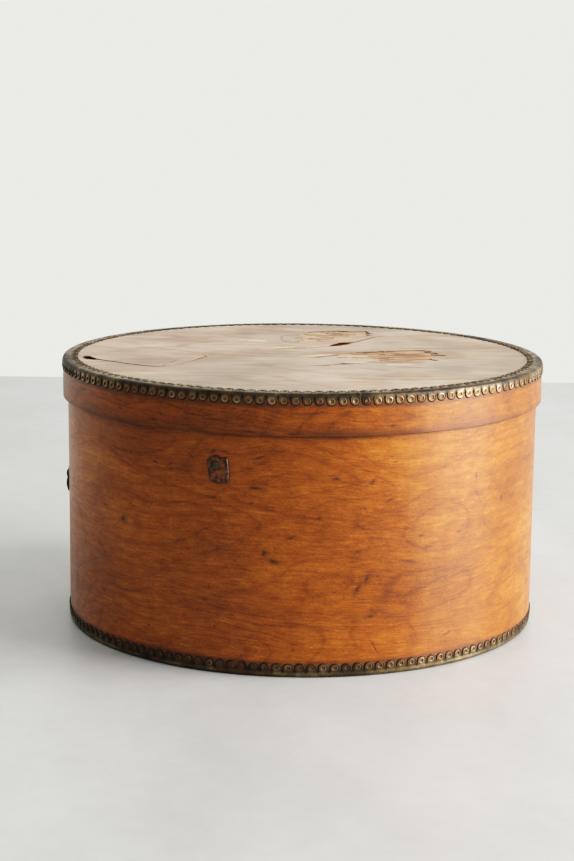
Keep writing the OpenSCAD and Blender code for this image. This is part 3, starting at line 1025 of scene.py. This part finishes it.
def lid_face(name):
    """The lid's worn outer veneer: satin, greyed and scuffed, yellower on loose pieces."""
    m = Surface(name)
    place = m.object_xyz()
    x, y, _ = m.split(place)
    flat = m.join(x, y)
    grain = bent_grain(m, place, (5, 9), 0.035)
    bands = m.noise(grain, (2.5, 60), detail=4, rough=0.6)
    fibres = m.noise(grain, (22, 1100), rough=0.65)
    blots = m.noise(place, (11, 16), detail=5, rough=0.62)
    figure = m.math("FRACT", m.noise(grain, (2.2, 7), detail=1.5) * 17)
    figure = m.ramp(figure, (0.0, 0.4), (0.15, 0.8), (0.8, 1.0), (1.0, 0.4))
    tone = bands * 0.45 + fibres * 0.75 + (blots - 0.5) * 1.5 + (figure - 0.8) * 0.25 - 0.08
    colour = m.ramp(tone, (0.2, (0.26, 0.18, 0.125)), (0.5, (0.425, 0.312, 0.235)),
                    (0.8, (0.58, 0.455, 0.36)))
    grey = m.noise(place, (6, 9), detail=4, rough=0.6, shift=(3, 0, 0))
    colour = m.mix(m.ramp(grey, (0.42, 0.0), (0.66, 0.5)), colour, (0.34, 0.30, 0.25))
    for spots, ragged, scale, tint, *stops in LID_STAINS:
        colour = m.mix(m.ramp(spot_reach(m, flat, spots, ragged, scale), *stops), colour, tint)
    scuff = spot_reach(m, flat, PALE_SCUFFS, 2.4, (60, 170))
    colour = m.mix(m.ramp(scuff, (0.5, 0.7), (0.95, 0.0)), colour, (0.68, 0.52, 0.37))
    colour = m.mix(m.ramp(scuff, (0.84, 0.0), (0.92, 0.45), (1.0, 0.0)), colour, (0.12, 0.07, 0.04))
    swirl = m.ramp(spot_reach(m, flat, SWIRL, 0.7, (30, 30)), (0.84, 0.0), (0.92, 0.55), (1.0, 0.0))
    colour = m.mix(swirl, colour, (0.10, 0.065, 0.04))
    core = m.ramp(spot_reach(m, flat, SWIRL_CORE, 0.9, (40, 40)), (0.5, 0.6), (1.0, 0.0))
    colour = m.mix(core, colour, (0.30, 0.31, 0.31))
    colour = m.mix(m.tone() * 0.75, colour, (0.56, 0.415, 0.275))
    dark = m.noise(grain, (26, 170), rough=0.6)
    colour = m.mix(m.ramp(dark, (0.68, 0.0), (0.76, 0.55)), colour, (0.07, 0.04, 0.025))
    scuffs = m.noise(place, (55, 140), detail=5, rough=0.7)
    colour = m.mix(m.ramp(scuffs, (0.62, 0.0), (0.74, 0.45)), colour, (0.50, 0.42, 0.34))
    m.bump(fibres * 0.6 + bands * 0.8, 0.3, 0.00012)
    return m.finish(Base_Color=colour, Roughness=m.ramp(blots, (0.3, 0.60), (0.7, 0.76)),
                    Specular_IOR_Level=0.4)


def torn_core(name):
    """The ply under the lid's veneer: pale torn fibres, stained orange-brown in places, and painted shade
    where it lies under a gap.
    """
    m = Surface(name)
    place = m.object_xyz()
    x, y, _ = m.split(place)
    flat = m.join(x, y)
    fibres = m.noise(place, (34, 900), detail=4, rough=0.7)
    strands = m.noise(place, (11, 230), detail=4, rough=0.65)
    blots = m.noise(place, (26, 70), detail=4, rough=0.6)
    tone = fibres * 0.4 + strands * 0.6 + (blots - 0.5) * 0.6
    clean = m.ramp(tone, (0.30, (0.36, 0.235, 0.155)), (0.5, (0.49, 0.345, 0.24)),
                   (0.70, (0.59, 0.45, 0.33)))
    brown = m.ramp(tone, (0.32, (0.15, 0.060, 0.028)), (0.5, (0.32, 0.160, 0.085)),
                   (0.68, (0.54, 0.36, 0.23)))
    stained = spot_reach(m, flat, CORE_STAINS, 1.8, (40, 160))
    colour = m.mix(m.ramp(stained, (0.6, 1.0), (1.1, 0.0)), clean, brown)
    # painted shade on the core under the flake's lifted tip and under the crack's gape
    gap_shade = spot_reach(m, flat, CORE_GAP_SHADE, 0.2, (40, 40))
    colour = m.mix(m.ramp(gap_shade, (0.7, 1.0), (1.0, 0.0)), colour, (0.17, 0.060, 0.022))
    m.bump(tone, 0.6, 0.0004)
    return m.finish(Base_Color=colour, Roughness=m.ramp(tone, (0.3, 0.92), (0.7, 0.75)),
                    Specular_IOR_Level=0.3)


# ---------------------------------------------------------------- building the object
def finish_piece(obj, materials, body, node, angle=40):
    """Gives a piece its materials, smooth shading with sharp edges past an angle in degrees
    and its body, and hides the CAD node that it stands for."""
    for material in materials:
        obj.data.materials.append(material)
    obj.data.shade_smooth()
    obj.data.set_sharp_from_angle(angle=math.radians(angle))
    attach(obj, body)
    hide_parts(node)


edge_ply = ply_edge("ply_edge")
inside_ply = bare_wood("bare_ply_inside", (0.46, 0.30, 0.16), (0.24, 0.13, 0.06))
under_ply = bare_wood("bare_ply_flat", (0.44, 0.28, 0.15), (0.23, 0.125, 0.06))
wall_wood = varnished_wood("varnished_wall", WALL_R, BASE_STRIP_TOP_Z, LID_EDGE_Z,
                           WALL_MARKS, 0.003, 0.0025, 0.0, 2)
lid_wood = varnished_wood("varnished_lid_hoop", LID_R, LID_EDGE_Z, LID_STRIP_LOW_Z,
                          LID_MARKS, 0.006, 0.003, -0.14, 5)

wall = hoop("wall_hoop_wood", WALL_R - PLY, WALL_R, BASE_TOP_Z, WALL_TOP_Z, 1)
finish_piece(wall, [wall_wood, edge_ply, inside_ply], "box", "wall_hoop")
base = disc("base_disc_wood", WALL_R, BASE_Z, BASE_TOP_Z, 2.25 * MM, False, 3)
finish_piece(base, [under_ply, edge_ply, under_ply], "box", "base_disc")
lid_hoop = hoop("lid_hoop_wood", LID_R - PLY, LID_R, LID_EDGE_Z, LID_UNDER_Z, 6, rows=8)
finish_piece(lid_hoop, [lid_wood, edge_ply, inside_ply], "lid", "lid_hoop")
panel = disc("lid_panel_wood", LID_R, LID_UNDER_Z, CORE_TOP_Z, 1.5 * MM, True, 4)
finish_piece(panel, [torn_core("torn_core"), edge_ply, under_ply], "lid", "lid_panel")

veneer_material = lid_face("lid_face_veneer")
veneer_edge = bare_wood("veneer_edge", (0.34, 0.23, 0.15), (0.15, 0.085, 0.05), use_uv=False)
torn_edge = bare_wood("torn_fibre_edge", (0.50, 0.35, 0.22), (0.28, 0.17, 0.10), use_uv=False)
for piece in lid_veneer():
    edge = torn_edge if piece.name == "lid_veneer_splinters" else veneer_edge
    finish_piece(piece, [veneer_material, edge], "lid", "lid_face_veneer")

metal = strip_metal("tarnished_strip")
lid_path = StripPath(LID_R + STRIP_SLACK, LID_TOP_Z + STRIP_SLACK, LID_STRIP_LOW_Z, LID_STRIP_IN_R, 1)
base_path = StripPath(WALL_R + STRIP_SLACK, BASE_Z - STRIP_SLACK, BASE_STRIP_TOP_Z, BASE_STRIP_IN_R, -1)
lid_strip = binding("lid_binding_strip", lid_path, LID_LOBES, LAP_ANGLE, 11, 1, 0.0, 0.22)
finish_piece(lid_strip, [metal], "lid", "lid_binding", angle=60)
base_strip = binding("base_binding_strip", base_path, BASE_LOBES, LAP_ANGLE + 1.9, 12, 0, 0.16, -0.16)
finish_piece(base_strip, [metal], "box", "base_binding", angle=60)

hide = strap_leather("strap_leather")
steel = rivet_metal("rivet_metal")
for side, azimuth, outline, curl, seed in STUBS:
    low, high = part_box(side + "_strap_stub")
    middle_z = ((low + high) / 2).z
    stub = leather(side + "_strap_leather", outline, azimuth, middle_z, curl, seed)
    finish_piece(stub, [hide], "box", side + "_strap_stub", angle=60)
    spot = azimuth - math.degrees(RIVET_LEFT * MM / WALL_R)
    z = middle_z + RIVET_UP * MM
    for kind, profile, own_seed in (("rivet", rivet_profile(), seed), ("burr", burr_profile(), seed + 1)):
        turned = lathe(side + "_strap_" + kind + "_turned", profile, spot, z, own_seed)
        finish_piece(turned, [steel], "box", side + "_strap_" + kind, angle=50)


# ---------------------------------------------------------------- stage, light and camera
FLOOR_X = (-4, 2.2)
FLOOR_Y = (-2.6, 1.23)  # it ends at the back against the pale wall that the world stands for
ROOM_COLOUR = (0.95, 0.97, 1.0)
WALL_COLOUR = (0.985, 1.0, 0.93)


def floor_material():
    """Pale polished concrete with faint clouds and specks."""
    m = Surface("floor")
    place = m.object_xyz()
    tone = m.noise(place, (5, 3), detail=5, rough=0.6) * 0.75 + m.noise(place, 60, detail=5, rough=0.7) * 0.25
    colour = m.ramp(tone, (0.3, (0.46, 0.455, 0.435)), (0.7, (0.61, 0.615, 0.605)))
    return m.finish(Base_Color=colour, Roughness=0.42)


corners = [(FLOOR_X[i], FLOOR_Y[j], 0) for i, j in ((0, 0), (1, 0), (1, 1), (0, 1))]
floor = make_object("floor", corners, [(0, 1, 2, 3)])
floor.data.materials.append(floor_material())


def window(name, azimuth, distance, z, width, height, power, colour):
    """A soft area light that faces the object from azimuth degrees round to the right of the front."""
    data = bpy.data.lights.new(name, "AREA")
    data.shape = "RECTANGLE"
    data.size = width
    data.size_y = height
    data.energy = power
    data.color = colour
    lamp = bpy.data.objects.new(name, data)
    angle = math.radians(azimuth)
    lamp.location = (distance * math.sin(angle), -distance * math.cos(angle), z)
    aim = Vector((0, 0, 0.12)) - lamp.location
    lamp.rotation_euler = aim.to_track_quat("-Z", "Y").to_euler()
    bpy.context.scene.collection.objects.link(lamp)


window("window_right", 77, 2.6, 0.95, 2.0, 1.8, 182, (1.0, 0.985, 0.97))


def room_light(overhead, horizon, front):
    """World light of a pale room: an even bright wall behind, and else brightest overhead,
    fuller from the front and dim near the horizon. The camera sees the wall all round."""
    world = bpy.data.worlds.new("soft_room")
    world.use_nodes = True
    m = Nodes(world.node_tree)

    def share(axis, low, high, at_low, at_high):
        """A value that goes smoothly from at_low to at_high along one axis of the direction."""
        inputs = {"Value": axis, "From Min": low, "From Max": high, "To Min": at_low, "To Max": at_high}
        return m.add("ShaderNodeMapRange", inputs, "Result", interpolation_type="SMOOTHSTEP")

    _, y, z = m.split(m.add("ShaderNodeTexCoord", out="Generated"))
    room = share(z, 0.15, 0.95, horizon, overhead) + share(y, -1.0, 0.1, front, 0.0)
    seen = m.add("ShaderNodeLightPath", out="Is Camera Ray")
    wall_share = m.math("MAXIMUM", share(y, 0.16, 0.30, 0.0, 1.0), seen)
    background = m.tree.nodes["Background"]
    m.put(background.inputs["Strength"], m.add("ShaderNodeMix", {0: wall_share, 2: room, 3: 1.0}))
    m.put(background.inputs["Color"], m.mix(wall_share, ROOM_COLOUR, WALL_COLOUR))
    bpy.context.scene.world = world


room_light(0.80, 0.05, 0.26)

# The camera looks down by CAMERA_DOWN, turned and rolled by fractions of a degree
CAMERA_PLACE = (0, -1.647, 0.4653)
CAMERA_DOWN = math.radians(10.66)
CAMERA_TURN = 0.0075
CAMERA_ROLL = 0.0106
camera_data = bpy.data.cameras.new("camera")
camera_data.lens = 82.83
camera_data.sensor_width = 36
camera = bpy.data.objects.new("camera", camera_data)
aim = Matrix.Rotation(CAMERA_TURN, 4, "Z") @ Matrix.Rotation(math.pi / 2 - CAMERA_DOWN, 4, "X")
aim = aim @ Matrix.Rotation(CAMERA_ROLL, 4, "Z")
camera.matrix_world = Matrix.Translation(CAMERA_PLACE) @ aim
bpy.context.scene.collection.objects.link(camera)
bpy.context.scene.camera = camera


def photographic_tones(points):
    """A camera's soft S-shaped response: deeper shadows and gentle highlights."""
    view = bpy.context.scene.view_settings
    view.view_transform = "Standard"
    view.use_curve_mapping = True
    curve = view.curve_mapping.curves[3]
    while len(curve.points) < len(points):
        curve.points.new(0.5, 0.5)
    for point, place in zip(curve.points, points):
        point.location = place
    view.curve_mapping.use_clip = False
    view.curve_mapping.update()


photographic_tones([(0, 0), (0.04, 0.016), (0.12, 0.085), (0.3, 0.3), (0.62, 0.62), (1.0, 0.835)])
